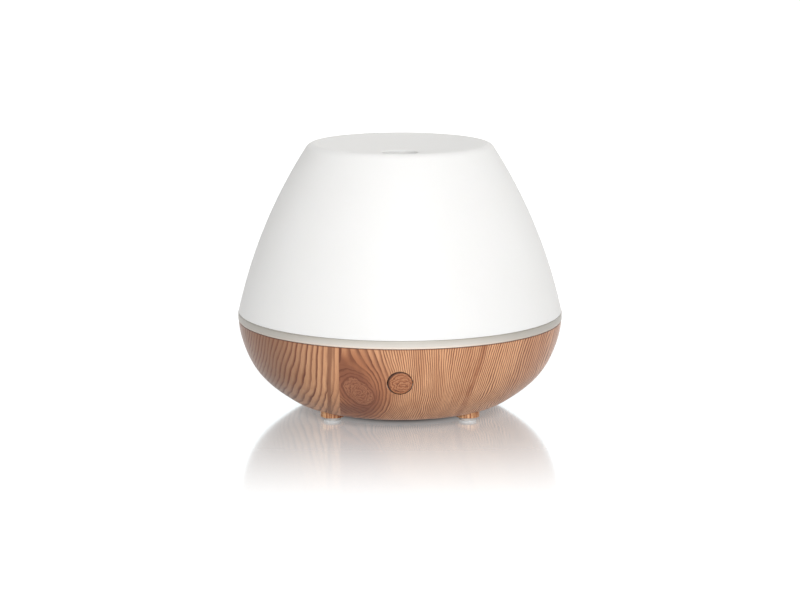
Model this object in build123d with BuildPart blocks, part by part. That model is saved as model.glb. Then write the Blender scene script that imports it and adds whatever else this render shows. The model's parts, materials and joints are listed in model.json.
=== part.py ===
"""A cool-mist ultrasonic essential oil diffuser.

A wood-grain bowl stands on four feet and holds the electronics. A frosted water tank closes the
bowl and shows as a thin band. A splash guard with a chimney stands in the tank. A frosted cover with
a dished top goes over it.

Millimetres. The origin is on the floor under the middle of the bowl, +Z is up and the button faces -Y.
"""

from build123d import *
import math
import os

os.makedirs("parts", exist_ok=True)

# ---------------------------------------------------------------- driving dimensions
WALL = 2.4  # moulded shells
THIN_WALL = 1.6  # inner mouldings
FIT = 0.3  # gap between pieces that move against each other
TOUCH = 0.05  # gap between fixed pieces that rest against each other

# outer form, as radius and height from the floor
SHELL_BOTTOM = 2.0
SHELL_TOP = 38.6
BOWL = [(34.0, SHELL_BOTTOM), (49.6, 6.2), (61.2, 16.1), (67.5, 27.8), (69.8, SHELL_TOP)]
RING_R = 70.0
RING_BOTTOM = SHELL_TOP + 0.1
RING_TOP = 42.2
COVER_BOTTOM = RING_TOP + TOUCH
COVER = [(69.8, COVER_BOTTOM), (66.1, 56.7), (61.3, 71.2), (55.3, 85.7), (48.0, 100.2), (38.85, 115.3)]
LIP_ROUND = 3.7
DISH_LOW = 110.57  # height of the dished top's middle
DISH_R = 160.0
MIST_HOLE_R = 7.5
MIST_HOLE_ROUND = 0.8

# bowl
SHELL_FLOOR = SHELL_BOTTOM + WALL
CORE_DEPTH = WALL / 2  # posts and tubes run into the middle of the wall
SEAT_Z = 37.2  # seat of the tank gasket
SEAT_R = 67.8
SEAT_INNER_R = 66.4
SEAT_DEPTH = 2.6
GASKET_PLAY = 0.15
VENT_WIDTH = 2.6
VENT_PITCH = 5.6
VENT_RANGE_R = 14.5

# feet, which also take the case screws
FOOT_AT = 28.7
FOOT_R = 5.1
FOOT_BOTTOM = 1.5
PAD_R = 3.7
PAD_TOP = 2.3
PAD_ROUND = 0.3
CASE_HEAD_R = 2.7
CASE_HEAD_SEAT = 4.6
CASE_SHANK_R = 1.3
CASE_SCREW_TIP = 18.0
BOSS_R = 3.6
BOSS_TOP = 8.2

# button and its switch, along Y at this height
BUTTON_Z = 23.7
BUTTON_R = 5.1
BUTTON_RECESS = 0.5
BUTTON_EDGE = 0.35
GUIDE_R = 7.4
GUIDE_END = -58.6
FLANGE_R = 6.4
FLANGE_FRONT = GUIDE_END + FIT
FLANGE_BACK = FLANGE_FRONT + 1.2
BUTTON_HOLLOW_R = 3.9
BUTTON_HOLLOW_DEPTH = 3.4
STEM_R = 1.9
SWITCH_FRONT = -55.9
SWITCH_BACK = -52.4
SWITCH_SIDE = 6.0
PLUNGER_R = 1.7
PLUNGER_TIP = -55.0
PLUNGER_POCKET = -54.2
SWITCH_BOARD_SIZE = (26.0, 1.6, 10.0)
SWITCH_POST_X = 10.5
SWITCH_POST_R = 2.6
SWITCH_SCREW_LENGTH = 7.0
SWITCH_PILOT_DEPTH = 6.5

# power inlet, along Y at this height
JACK_Z = 21.0
JACK_WIDTH = 9.0
JACK_FRONT = 41.0
JACK_FACE = 55.3
JACK_TOP = 25.0
JACK_BORE_R = 2.85
JACK_BORE_DEPTH = 10.0
JACK_BORE_END = JACK_FACE - JACK_BORE_DEPTH
JACK_ROUND = 1.5
JACK_PIN_R = 1.0
JACK_PIN_LENGTH = 9.2
JACK_PIN_ROUND = 0.4
JACK_ROOT_R = 1.4  # the pin's thicker root, held in the socket
JACK_ROOT_START = JACK_FRONT + 1.0
POCKET_R = 6.2
POCKET_FLOOR = 57.5
POCKET_FLOOR_WALL = 2.0
PLUG_HOLE_R = 4.0

# main board
BOARD_BOTTOM = 12.4
BOARD_TOP = 14.0
BOARD_R = 53.0
BOARD_FRONT = 4.0
BOSS_HOLE_R = 5.2
BOARD_POSTS = [(46.0, 12.0), (-46.0, 12.0), (18.0, 46.0), (-18.0, 46.0)]
BOARD_POST_R = 3.2
SMALL_SHANK_R = 1.0
SMALL_HEAD_R = 2.2
SMALL_HEAD = 1.5
PILOT_BOTTOM = 9.2
FAN_PILOT_BOTTOM = SHELL_FLOOR - 0.8
ON_BOARD = BOARD_TOP + TOUCH

# fan
FAN_Y = -19.0
FAN_SIDE = 35.0
FAN_HOLES = 29.0
FAN_BOTTOM = SHELL_FLOOR + 2.0
FAN_TOP = FAN_BOTTOM + 10.0
FAN_BORE_R = 16.6
FAN_BOSS_R = 3.0
FAN_BASE_R = 8.6
FAN_BASE = 1.4
FAN_HUB_R = 9.0
FAN_HUB_BOTTOM = FAN_BOTTOM + 2.0
FAN_HUB_TOP = FAN_TOP - 0.8
BLADE_TIP_R = 16.2
BLADES = 7
SHAFT_R = 1.0
SHAFT_PLAY = 0.03
BUSH_R = 2.5
BUSH_TUBE_R = 3.4

# air duct, from the fan to the tank's air tower
DUCT_WALL = 1.2
DUCT_BOTTOM = FAN_TOP + TOUCH
DUCT_FLANGE_TOP = DUCT_BOTTOM + DUCT_WALL
DUCT_BORE = 32.0
DUCT_NECK = 23.5
DUCT_TOP = 26.1

# tank
TANK_FLOOR = 30.0
TANK_UNDER = 27.84
BASIN_R = 61.5
LEDGE = 41.0  # the splash guard stands here
LEDGE_R = 64.7
UPSTAND_R = 66.2
UPSTAND_TOP = 45.0
SKIRT_R = 66.0
SKIRT_BOTTOM = 35.7
TOWER_Y = -27.0
TOWER_SIZE = (26.0, 14.0)
TOWER_TOP = 51.0
TOWER_FOOT = 24.5
TOWER_WINDOW = (18.0, 42.5, 48.4)  # width, lowest and highest edge
TOWER_ROUND = 1.2
TOWER_FLANGE = 1.8  # rests against the tank's floor from below
BASIN_BEND_AT = (46.0, TANK_FLOOR)
UNDER_BEND_AT = (47.05, TANK_UNDER)
BASIN_EDGE_AT = (BASIN_R, 37.5)
POST_ROOT = 1.0  # how far the posts under the tank run into its floor
TANK = [
    (0, TANK_UNDER),
    UNDER_BEND_AT,
    (63.9, 36.0),
    (63.9, 38.3),
    (64.8, 38.3),
    (64.8, SKIRT_BOTTOM),
    (SKIRT_R, SKIRT_BOTTOM),
    (SKIRT_R, RING_BOTTOM),
    (RING_R, RING_BOTTOM),
    (RING_R, RING_TOP),
    (UPSTAND_R, RING_TOP),
    (UPSTAND_R, UPSTAND_TOP),
    (LEDGE_R, UPSTAND_TOP),
    (LEDGE_R, LEDGE),
    (BASIN_R, LEDGE),
    BASIN_EDGE_AT,
    BASIN_BEND_AT,
    (0, TANK_FLOOR),
]
TANK_ROUNDS = [
    (*BASIN_BEND_AT, 14.0),
    (*UNDER_BEND_AT, 16.0),
    (*BASIN_EDGE_AT, 3.0),
    (BASIN_R, LEDGE, 0.4),
    (RING_R, RING_BOTTOM, 0.5),
    (RING_R, RING_TOP, 0.6),
    (UPSTAND_R, UPSTAND_TOP, 0.5),
    (LEDGE_R, UPSTAND_TOP, 0.5),
]

# ultrasonic transducer, under a well in the tank's floor
WELL_Y = 12.0
WELL_R = 8.0
WELL_CHAMFER = 0.8
HOLDER_R = 17.0
HOLDER_BOTTOM = 22.5
HOLDER_TOP = 27.0
HOLDER_BORE_R = 11.6
SEAL_R = 11.5
PIEZO_R = 10.0
PIEZO_BOTTOM = 24.25
PIEZO_TOP = 25.35
RETAINER_TOP = HOLDER_BOTTOM - TOUCH
RETAINER_BOTTOM = RETAINER_TOP - 1.8
RETAINER_R = 16.5
RETAINER_HOLE_R = 6.5
HOLDER_SCREWS_R = 14.0
HOLDER_SCREW_LENGTH = 5.6
THREE_WAYS = dict(start_angle=90, count=3)

# light ring round the transducer
LED_BOARD_BOTTOM = 24.0
LED_BOARD_TOP = 25.6
LED_BOARD_INNER_R = 18.0
LED_BOARD_R = 24.5
LED_RING_R = 21.2
LED_PILLAR_R = 2.2
LED_SCREW_LENGTH = 4.4

# splash guard with its chimney
CHIMNEY_R = 9.2
CHIMNEY_TOP = 107.4
GUARD_FLANGE_R = 64.3
GUARD_FLANGE_TOP = 42.4
GUARD = [(61.1, 41.6), (57.2, 50.4), (CHIMNEY_R, 63.5), (CHIMNEY_R, CHIMNEY_TOP)]
GUARD_BENDS = [9.0, 15.0]
GUARD_SKIRT_R = BASIN_R - FIT
GUARD_SKIRT_BOTTOM = 39.0
CHIMNEY_ROUND = 0.5
SLEEVE_R = 11.5
SLEEVE_BORE_R = 9.9
SLEEVE_BOTTOM = 103.0

LEAD_R = 0.8
CONNECTOR_SIZE = (6.0, 5.0, 5.6)
CONNECTOR_SLOT = (4.0, 1.6, 2.0)
CONNECTORS = [(-22.0, 8.0), (22.0, 8.0), (10.0, 40.0), (26.0, 40.0)]

STANDING = (Align.CENTER, Align.CENTER, Align.MIN)
HANGING = (Align.CENTER, Align.CENTER, Align.MAX)
FEET = [(x, y) for x in (-FOOT_AT, FOOT_AT) for y in (-FOOT_AT, FOOT_AT)]


# ---------------------------------------------------------------- helpers
def save(builder, name):
    """Labels a finished piece and writes it as parts/NAME.step."""
    builder.part.label = name
    export_step(builder.part, f"parts/{name}.step")


def post(r, bottom, top, mode=Mode.ADD):
    """A round post, or a hole, between two heights at the current places."""
    with Locations((0, 0, bottom)):
        Cylinder(r, top - bottom, align=STANDING, mode=mode)


def block(size_x, size_y, bottom, top, mode=Mode.ADD):
    """A block, or a square hole, between two heights at the current places."""
    with Locations((0, 0, bottom)):
        Box(size_x, size_y, top - bottom, align=STANDING, mode=mode)


def bar(r, start, end, x, z, mode=Mode.ADD):
    """A round bar, or a bore, along Y from start to end."""
    with Locations(Location((x, start, z), (-90, 0, 0))):
        Cylinder(r, end - start, align=STANDING, mode=mode)


def tower_slot(margin, bottom, top, mode=Mode.ADD):
    """The air tower's outline, larger by a margin all round, between two heights."""
    with BuildSketch(Plane.XY.offset(bottom)) as outline:
        with Locations((0, TOWER_Y)):
            SlotOverall(TOWER_SIZE[0] + 2 * margin, TOWER_SIZE[1] + 2 * margin)
    extrude(outline.sketch, amount=top - bottom, mode=mode)


def screw(shank_r, length, head_r, head):
    """A screw whose shank stands on the current places, with its cross-slotted head hanging under them."""
    Cylinder(shank_r, length, align=STANDING)
    Cone(0.75 * head_r, head_r, head, align=HANGING)
    with Locations((0, 0, -head)):
        with PolarLocations(0, 2, angular_range=180):
            Box(1.1 * head_r, 0.25 * head_r, head, mode=Mode.SUBTRACT)


def section(outline, x=0.0, y=0.0):
    """A closed outline of (radius, height) points beside the vertical axis through (x, y)."""
    with BuildSketch(Plane((x, y, 0), x_dir=(1, 0, 0), z_dir=(0, -1, 0))) as drawn:
        with BuildLine():
            Polyline(*outline, close=True)
        make_face()
    return drawn.sketch


def inset(curve, depth, count=14):
    """Points a depth to the left of a curve, evenly spread along it."""
    points = []
    for i in range(count + 1):
        along = curve % (i / count)
        points.append(curve @ (i / count) + Vector(-along.Y, along.X) * depth)
    return points


def parallel(curve, depth):
    """A curve beside another one, a depth to its left."""
    return Spline(*inset(curve, depth), tangents=[curve % 0, curve % 1])


def dish(r, depth=0.0):
    """Height of the dished top at a radius, or of a surface a depth under it."""
    return DISH_LOW + r * r / (2 * DISH_R) - depth


def corner(face, r, z):
    """The corner of a section being drawn that is nearest to a radius and height."""
    return face.vertices().sort_by_distance((r, z))[0]


def lead(route):
    """A tube along straight runs joined by the largest arcs that the runs allow."""
    radii = []
    for a, b, c in zip(route, route[1:], route[2:]):
        into = Vector(*b) - Vector(*a)
        out = Vector(*c) - Vector(*b)
        half_turn = math.radians(into.get_angle(out)) / 2
        radii.append(0.45 * min(into.length, out.length) / math.tan(half_turn))
    with BuildPart() as tube:
        with BuildLine() as path:
            FilletPolyline(*route, radius=radii)
        with BuildSketch(Plane(path.line @ 0, z_dir=path.line % 0)):
            Circle(LEAD_R)
        sweep()
    length = sum(edge.length for edge in path.edges())
    fullness = tube.part.volume / (length * math.pi * LEAD_R**2)
    print(f"bend radii {[round(r, 1) for r in radii]}, length {length:.1f}, volume ratio {fullness:.4f}")
    return tube


BOWL_LINE = Spline(*BOWL, tangents=[(1, 0), (0.03, 1)], tangent_scalars=(1.6, 1))
COVER_LINE = Spline(*COVER)


def bowl_core(depth):
    """The bowl's whole volume, a depth inside its outer surface."""
    with BuildPart() as core:
        with BuildSketch(Plane.XZ):
            with BuildLine():
                side = parallel(BOWL_LINE, depth)
                Polyline(side @ 0, (0, SHELL_BOTTOM + depth), (0, SHELL_TOP), side @ 1)
            make_face()
        revolve(axis=Axis.Z)
    return core.part


# ---------------------------------------------------------------- bowl
with BuildPart() as base_shell:
    # posts and tubes, trimmed to the middle of the bowl's wall
    with Locations(*BOARD_POSTS):
        post(BOARD_POST_R, SHELL_BOTTOM, BOARD_BOTTOM - TOUCH)
    with Locations((0, FAN_Y)):
        with GridLocations(FAN_HOLES, FAN_HOLES, 2, 2):
            post(FAN_BOSS_R, SHELL_BOTTOM, FAN_BOTTOM - TOUCH)
    bar(GUIDE_R, -BOWL[-1][0], GUIDE_END, 0, BUTTON_Z)
    for x in (-SWITCH_POST_X, SWITCH_POST_X):
        bar(SWITCH_POST_R, -BOWL[-1][0], SWITCH_BACK - TOUCH, x, BUTTON_Z)
    bar(POCKET_R + POCKET_FLOOR_WALL, POCKET_FLOOR - POCKET_FLOOR_WALL, BOWL[-1][0], 0, JACK_Z)
    add(bowl_core(CORE_DEPTH), mode=Mode.INTERSECT)
    # the bowl itself, with feet below it and screw bosses above them
    with BuildSketch(Plane.XZ):
        with BuildLine():
            add(BOWL_LINE)
            inner = parallel(BOWL_LINE, WALL)
            Line(BOWL_LINE @ 1, inner @ 1)
            Polyline(inner @ 0, (0, SHELL_FLOOR), (0, SHELL_BOTTOM), BOWL_LINE @ 0)
        make_face()
    revolve(axis=Axis.Z)
    with Locations(*FEET):
        post(FOOT_R, FOOT_BOTTOM, BOSS_TOP)
    # seat of the gasket: a ridge inside the rim with a rebate above it
    ridge_z = SEAT_Z - SEAT_DEPTH
    ridge = [(SEAT_INNER_R, ridge_z), (SEAT_R, ridge_z), (SEAT_R, SEAT_Z), (SEAT_INNER_R, SEAT_Z)]
    revolve(section(ridge), axis=Axis.Z)
    post(SEAT_R, SEAT_Z, RING_TOP, mode=Mode.SUBTRACT)
    # holes for the pads and the case screws
    with Locations(*FEET):
        post(PAD_R + TOUCH, 0, PAD_TOP + TOUCH, mode=Mode.SUBTRACT)
        post(CASE_HEAD_R + FIT, 0, CASE_HEAD_SEAT, mode=Mode.SUBTRACT)
        post(CASE_SHANK_R + FIT, 0, RING_TOP, mode=Mode.SUBTRACT)
    # pilot holes for the boards' and the fan's screws
    with Locations(*BOARD_POSTS):
        post(SMALL_SHANK_R + TOUCH, PILOT_BOTTOM, RING_TOP, mode=Mode.SUBTRACT)
    with Locations((0, FAN_Y)):
        with GridLocations(FAN_HOLES, FAN_HOLES, 2, 2):
            post(CASE_SHANK_R + TOUCH, FAN_PILOT_BOTTOM, RING_TOP, mode=Mode.SUBTRACT)
    for x in (-SWITCH_POST_X, SWITCH_POST_X):
        pilot_start = SWITCH_BACK - SWITCH_PILOT_DEPTH
        bar(SMALL_SHANK_R + TOUCH, pilot_start, SWITCH_BACK, x, BUTTON_Z, mode=Mode.SUBTRACT)
    # button's and power inlet's openings
    bar(BUTTON_R + FIT, -RING_R, GUIDE_END + WALL, 0, BUTTON_Z, mode=Mode.SUBTRACT)
    bar(POCKET_R, POCKET_FLOOR, RING_R, 0, JACK_Z, mode=Mode.SUBTRACT)
    bar(PLUG_HOLE_R, JACK_BORE_END, RING_R, 0, JACK_Z, mode=Mode.SUBTRACT)
    # air slots under the fan
    with BuildSketch():
        for i in range(-2, 3):
            with Locations(Location((i * VENT_PITCH, FAN_Y), 90)):
                half_length = math.sqrt(VENT_RANGE_R**2 - (i * VENT_PITCH) ** 2)
                SlotOverall(2 * half_length, VENT_WIDTH)
    extrude(amount=SHELL_FLOOR + WALL, mode=Mode.SUBTRACT)
save(base_shell, "base_shell")

for number, place in enumerate(FEET, 1):
    with BuildPart() as foot_pad:
        with Locations(place):
            post(PAD_R, 0, PAD_TOP)
        fillet(foot_pad.edges().group_by(Axis.Z)[0], PAD_ROUND)
    save(foot_pad, f"foot_pad_{number}")

CASE_HEAD = CASE_HEAD_SEAT - PAD_TOP - 3 * TOUCH

with BuildPart() as case_screws:
    with Locations(*[(x, y, CASE_HEAD_SEAT - TOUCH) for x, y in FEET]):
        screw(CASE_SHANK_R, CASE_SCREW_TIP - CASE_HEAD_SEAT, CASE_HEAD_R, CASE_HEAD)
save(case_screws, "case_screws")

# ---------------------------------------------------------------- water tank
with BuildPart() as water_tank:
    with BuildSketch(Plane.XZ) as tank_face:
        with BuildLine():
            Polyline(*TANK, close=True)
        make_face()
        for r, z, rounding in TANK_ROUNDS:
            fillet(corner(tank_face, r, z), rounding)
    revolve(axis=Axis.Z)
    # bosses for the case screws, transducer holder and light-ring pillars under the floor
    with Locations(*FEET):
        post(BOSS_R, BOSS_TOP + TOUCH, TANK_FLOOR - POST_ROOT)
    with Locations((0, WELL_Y)):
        post(HOLDER_R, HOLDER_BOTTOM, TANK_FLOOR - POST_ROOT)
        with PolarLocations(LED_RING_R, **THREE_WAYS):
            post(LED_PILLAR_R, LED_BOARD_TOP + TOUCH, TANK_FLOOR - POST_ROOT)
    # opening for the air tower
    tower_slot(TOUCH, TANK_UNDER, TANK_FLOOR, mode=Mode.SUBTRACT)
    # well, its counterbore and the pilot holes
    with Locations((0, WELL_Y)):
        post(HOLDER_BORE_R, HOLDER_BOTTOM, HOLDER_TOP, mode=Mode.SUBTRACT)
        post(WELL_R, HOLDER_BOTTOM, TANK_FLOOR, mode=Mode.SUBTRACT)
        with Locations((0, 0, TANK_FLOOR - WELL_CHAMFER)):
            Cone(WELL_R, WELL_R + WELL_CHAMFER, WELL_CHAMFER, align=STANDING, mode=Mode.SUBTRACT)
        with PolarLocations(HOLDER_SCREWS_R, **THREE_WAYS):
            post(SMALL_SHANK_R + TOUCH, HOLDER_BOTTOM, HOLDER_TOP, mode=Mode.SUBTRACT)
        with PolarLocations(LED_RING_R, **THREE_WAYS):
            post(SMALL_SHANK_R + TOUCH, LED_BOARD_TOP, TANK_FLOOR - WALL / 2, mode=Mode.SUBTRACT)
    with Locations(*FEET):
        post(CASE_SHANK_R + TOUCH, BOSS_TOP, CASE_SCREW_TIP + POST_ROOT, mode=Mode.SUBTRACT)
save(water_tank, "water_tank")

# A closed-top tube through the tank's floor, open towards the middle of the basin.
with BuildPart() as air_tower:
    tower_slot(0, TOWER_FOOT, TOWER_TOP)
    fillet(air_tower.edges().group_by(Axis.Z)[-1], TOWER_ROUND)
    tower_slot(TOWER_FLANGE, TANK_UNDER - TOUCH - THIN_WALL, TANK_UNDER - TOUCH)
    tower_slot(-THIN_WALL, TOWER_FOOT, TOWER_TOP - THIN_WALL, mode=Mode.SUBTRACT)
    with Locations((0, TOWER_Y + TOWER_SIZE[1] / 2)):
        block(TOWER_WINDOW[0], TOWER_SIZE[1] / 2, TOWER_WINDOW[1], TOWER_WINDOW[2], mode=Mode.SUBTRACT)
save(air_tower, "air_tower")

with BuildPart() as tank_gasket:
    post(SEAT_R - TOUCH, SEAT_Z + TOUCH, RING_BOTTOM - TOUCH)
    post(SKIRT_R + GASKET_PLAY, SEAT_Z, RING_BOTTOM, mode=Mode.SUBTRACT)
save(tank_gasket, "tank_gasket")

# ---------------------------------------------------------------- transducer
with BuildPart() as transducer_seal:
    with Locations((0, WELL_Y)):
        post(SEAL_R, HOLDER_BOTTOM + TOUCH, HOLDER_TOP - TOUCH)
        post(WELL_R, HOLDER_BOTTOM, HOLDER_TOP, mode=Mode.SUBTRACT)
        post(PIEZO_R + TOUCH, PIEZO_BOTTOM - TOUCH, PIEZO_TOP + TOUCH, mode=Mode.SUBTRACT)
save(transducer_seal, "transducer_seal")

with BuildPart() as piezo_disc:
    with Locations((0, WELL_Y)):
        post(PIEZO_R, PIEZO_BOTTOM, PIEZO_TOP)
save(piezo_disc, "piezo_disc")

with BuildPart() as transducer_retainer:
    with Locations((0, WELL_Y)):
        post(RETAINER_R, RETAINER_BOTTOM, RETAINER_TOP)
        post(RETAINER_HOLE_R, RETAINER_BOTTOM, RETAINER_TOP, mode=Mode.SUBTRACT)
        with PolarLocations(HOLDER_SCREWS_R, **THREE_WAYS):
            post(SMALL_SHANK_R + FIT, RETAINER_BOTTOM, RETAINER_TOP, mode=Mode.SUBTRACT)
save(transducer_retainer, "transducer_retainer")

with BuildPart() as transducer_screws:
    with Locations((0, WELL_Y, RETAINER_BOTTOM - TOUCH)):
        with PolarLocations(HOLDER_SCREWS_R, **THREE_WAYS):
            screw(SMALL_SHANK_R, HOLDER_SCREW_LENGTH, SMALL_HEAD_R, SMALL_HEAD)
save(transducer_screws, "transducer_screws")

# ---------------------------------------------------------------- main board and what stands on it
with BuildPart() as main_board:
    with BuildSketch(Plane.XY.offset(BOARD_BOTTOM)):
        Circle(BOARD_R)
        with Locations((0, BOARD_FRONT)):
            Rectangle(2 * BOARD_R, BOARD_R, align=(Align.CENTER, Align.MIN), mode=Mode.INTERSECT)
        with Locations(*[(x, FOOT_AT) for x in (-FOOT_AT, FOOT_AT)]):
            Circle(BOSS_HOLE_R, mode=Mode.SUBTRACT)
        with Locations(*BOARD_POSTS):
            Circle(SMALL_SHANK_R + FIT, mode=Mode.SUBTRACT)
    extrude(amount=BOARD_TOP - BOARD_BOTTOM)
save(main_board, "main_board")

with BuildPart() as board_screws:
    with Locations(*[Location((x, y, ON_BOARD), (180, 0, 0)) for x, y in BOARD_POSTS]):
        screw(SMALL_SHANK_R, ON_BOARD - PILOT_BOTTOM - TOUCH, SMALL_HEAD_R, SMALL_HEAD)
save(board_screws, "board_screws")

with BuildPart() as dc_socket:
    with Locations((0, (JACK_FRONT + JACK_FACE) / 2)):
        block(JACK_WIDTH, JACK_FACE - JACK_FRONT, ON_BOARD, JACK_TOP)
    fillet(dc_socket.edges().filter_by(Axis.Y).group_by(Axis.Z)[-1], JACK_ROUND)
    bar(JACK_BORE_R, JACK_BORE_END, JACK_FACE, 0, JACK_Z, mode=Mode.SUBTRACT)
    bar(JACK_ROOT_R + TOUCH / 2, JACK_ROOT_START, JACK_FACE, 0, JACK_Z, mode=Mode.SUBTRACT)
save(dc_socket, "dc_socket")

with BuildPart() as dc_socket_pin:
    bar(JACK_ROOT_R, JACK_ROOT_START + TOUCH, JACK_BORE_END, 0, JACK_Z)
    bar(JACK_PIN_R, JACK_ROOT_START + TOUCH, JACK_BORE_END + JACK_PIN_LENGTH, 0, JACK_Z)
    fillet(dc_socket_pin.edges().group_by(Axis.Y)[-1], JACK_PIN_ROUND)
save(dc_socket_pin, "dc_socket_pin")

INDUCTOR_AT = (-36.0, 15.0)
INDUCTOR_R = 5.0
INDUCTOR_HUB_R = 2.2
INDUCTOR_FLANGE = 1.5
WINDING_R = 4.5
INDUCTOR_TOP = 23.5

with BuildPart() as inductor_core:
    with Locations(INDUCTOR_AT):
        post(INDUCTOR_R, ON_BOARD, ON_BOARD + INDUCTOR_FLANGE)
        post(INDUCTOR_HUB_R, ON_BOARD, INDUCTOR_TOP)
        post(INDUCTOR_R, INDUCTOR_TOP - INDUCTOR_FLANGE, INDUCTOR_TOP)
save(inductor_core, "inductor_core")

with BuildPart() as inductor_winding:
    with Locations(INDUCTOR_AT):
        post(WINDING_R, ON_BOARD + INDUCTOR_FLANGE + TOUCH, INDUCTOR_TOP - INDUCTOR_FLANGE - TOUCH)
        post(INDUCTOR_HUB_R + TOUCH, ON_BOARD, INDUCTOR_TOP, mode=Mode.SUBTRACT)
save(inductor_winding, "inductor_winding")

SINK_X = 34.0
SINK_Y = 15.0
SINK_LENGTH = 14.0
SINK_TOP = 26.0
SINK_PLATE = 1.5
FIN = (6.0, 1.0)
FIN_PITCH = 3.2

with BuildPart() as heat_sink:
    with Locations((SINK_X + SINK_PLATE / 2, SINK_Y)):
        block(SINK_PLATE, SINK_LENGTH, ON_BOARD, SINK_TOP)
    for i in range(-2, 3):
        with Locations((SINK_X + SINK_PLATE / 2 + FIN[0] / 2, SINK_Y + i * FIN_PITCH)):
            block(FIN[0] + SINK_PLATE, FIN[1], ON_BOARD, SINK_TOP)
save(heat_sink, "heat_sink")

TRANSISTOR_BODY = (4.6, 10.0)
TRANSISTOR_FOOT = 17.0
TRANSISTOR_TOP = SINK_TOP - 0.6
LEG = 0.8
LEG_PITCH = 2.54
LEG_ROOT = 1.0

with BuildPart() as drive_transistor:
    with Locations((SINK_X - TOUCH - TRANSISTOR_BODY[0] / 2, SINK_Y)):
        block(*TRANSISTOR_BODY, TRANSISTOR_FOOT, TRANSISTOR_TOP)
        for y in (-LEG_PITCH, 0, LEG_PITCH):
            with Locations((0, y)):
                block(LEG, LEG, ON_BOARD, TRANSISTOR_FOOT + LEG_ROOT)
save(drive_transistor, "drive_transistor")

CAPACITORS = [(-40.0, 26.0), (-26.0, 40.0)]
CAPACITOR_R = 4.0
CAPACITOR_TOP = 25.5
CAPACITOR_ROUND = 0.6
SCORE_LENGTH = 5.2  # the crossed grooves in a can's top
SCORE_WIDTH = 0.4
SCORE_DEPTH = 0.3

with BuildPart() as electrolytic_capacitors:
    with Locations(*CAPACITORS):
        post(CAPACITOR_R, ON_BOARD, CAPACITOR_TOP)
    fillet(electrolytic_capacitors.edges().group_by(Axis.Z)[-1], CAPACITOR_ROUND)
    with Locations(*CAPACITORS):
        with PolarLocations(0, 2, angular_range=180):
            block(SCORE_LENGTH, SCORE_WIDTH, CAPACITOR_TOP - SCORE_DEPTH, CAPACITOR_TOP, mode=Mode.SUBTRACT)
save(electrolytic_capacitors, "electrolytic_capacitors")

CHIP_AT = (0.0, 20.0)
CHIP_SIZE = (8.6, 3.9)
CHIP_BOTTOM = ON_BOARD + 0.2
CHIP_TOP = ON_BOARD + 1.7
CHIP_LEG_PITCH = 1.27
CHIP_LEG = (0.45, 5.9, 0.4)

with BuildPart() as controller_chip:
    with Locations(CHIP_AT):
        block(*CHIP_SIZE, CHIP_BOTTOM, CHIP_TOP)
        for i in range(-3, 4):
            with Locations((i * CHIP_LEG_PITCH, 0)):
                block(CHIP_LEG[0], CHIP_LEG[1], ON_BOARD, ON_BOARD + CHIP_LEG[2])
save(controller_chip, "controller_chip")

SMALL_PARTS = [(-12, y) for y in (10, 13, 16, 19)]
SMALL_PARTS += [(-6, 30), (-2, 30), (9, 12), (9, 15), (12, 18), (15, 24)]
SMALL_PART = (2.0, 1.2, 0.6)

with BuildPart() as small_components:
    with Locations(*SMALL_PARTS):
        block(SMALL_PART[0], SMALL_PART[1], ON_BOARD, ON_BOARD + SMALL_PART[2])
save(small_components, "small_components")

with BuildPart() as board_connectors:
    with Locations(*CONNECTORS):
        top = ON_BOARD + CONNECTOR_SIZE[2]
        block(CONNECTOR_SIZE[0], CONNECTOR_SIZE[1], ON_BOARD, top)
        block(CONNECTOR_SLOT[0], CONNECTOR_SLOT[1], top - CONNECTOR_SLOT[2], top, mode=Mode.SUBTRACT)
save(board_connectors, "board_connectors")

# ---------------------------------------------------------------- light ring
with BuildPart() as led_board:
    with Locations((0, WELL_Y)):
        post(LED_BOARD_R, LED_BOARD_BOTTOM, LED_BOARD_TOP)
        post(LED_BOARD_INNER_R, LED_BOARD_BOTTOM, LED_BOARD_TOP, mode=Mode.SUBTRACT)
        with PolarLocations(LED_RING_R, **THREE_WAYS):
            post(SMALL_SHANK_R + FIT, LED_BOARD_BOTTOM, LED_BOARD_TOP, mode=Mode.SUBTRACT)
save(led_board, "led_board")

LED_SIDE = 3.5
LED_HOUSING_TOP = LED_BOARD_TOP + 1.0
LED_LENS_R = 1.2
LED_ANGLES = [10, 50, 130, 170, 250, 290]

with BuildPart() as leds:
    for angle in LED_ANGLES:
        with Locations((0, WELL_Y)):
            with PolarLocations(LED_RING_R, 1, start_angle=angle):
                block(LED_SIDE, LED_SIDE, LED_BOARD_TOP + TOUCH, LED_HOUSING_TOP)
                with Locations((0, 0, LED_HOUSING_TOP)):
                    Sphere(LED_LENS_R, arc_size1=0)
save(leds, "leds")

with BuildPart() as led_board_screws:
    with Locations((0, WELL_Y, LED_BOARD_BOTTOM - TOUCH)):
        with PolarLocations(LED_RING_R, **THREE_WAYS):
            screw(SMALL_SHANK_R, LED_SCREW_LENGTH, SMALL_HEAD_R, SMALL_HEAD)
save(led_board_screws, "led_board_screws")

# ---------------------------------------------------------------- fan
BUSH_BOTTOM = FAN_BOTTOM + FAN_BASE + 0.2
BUSH_TOP = FAN_HUB_TOP - 2.4
STRUT = (1.6, 1.2)
STRUTS_TURNED = 25  # degrees from the frame's sides
FRAME_CORNER_R = 2.5

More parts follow.
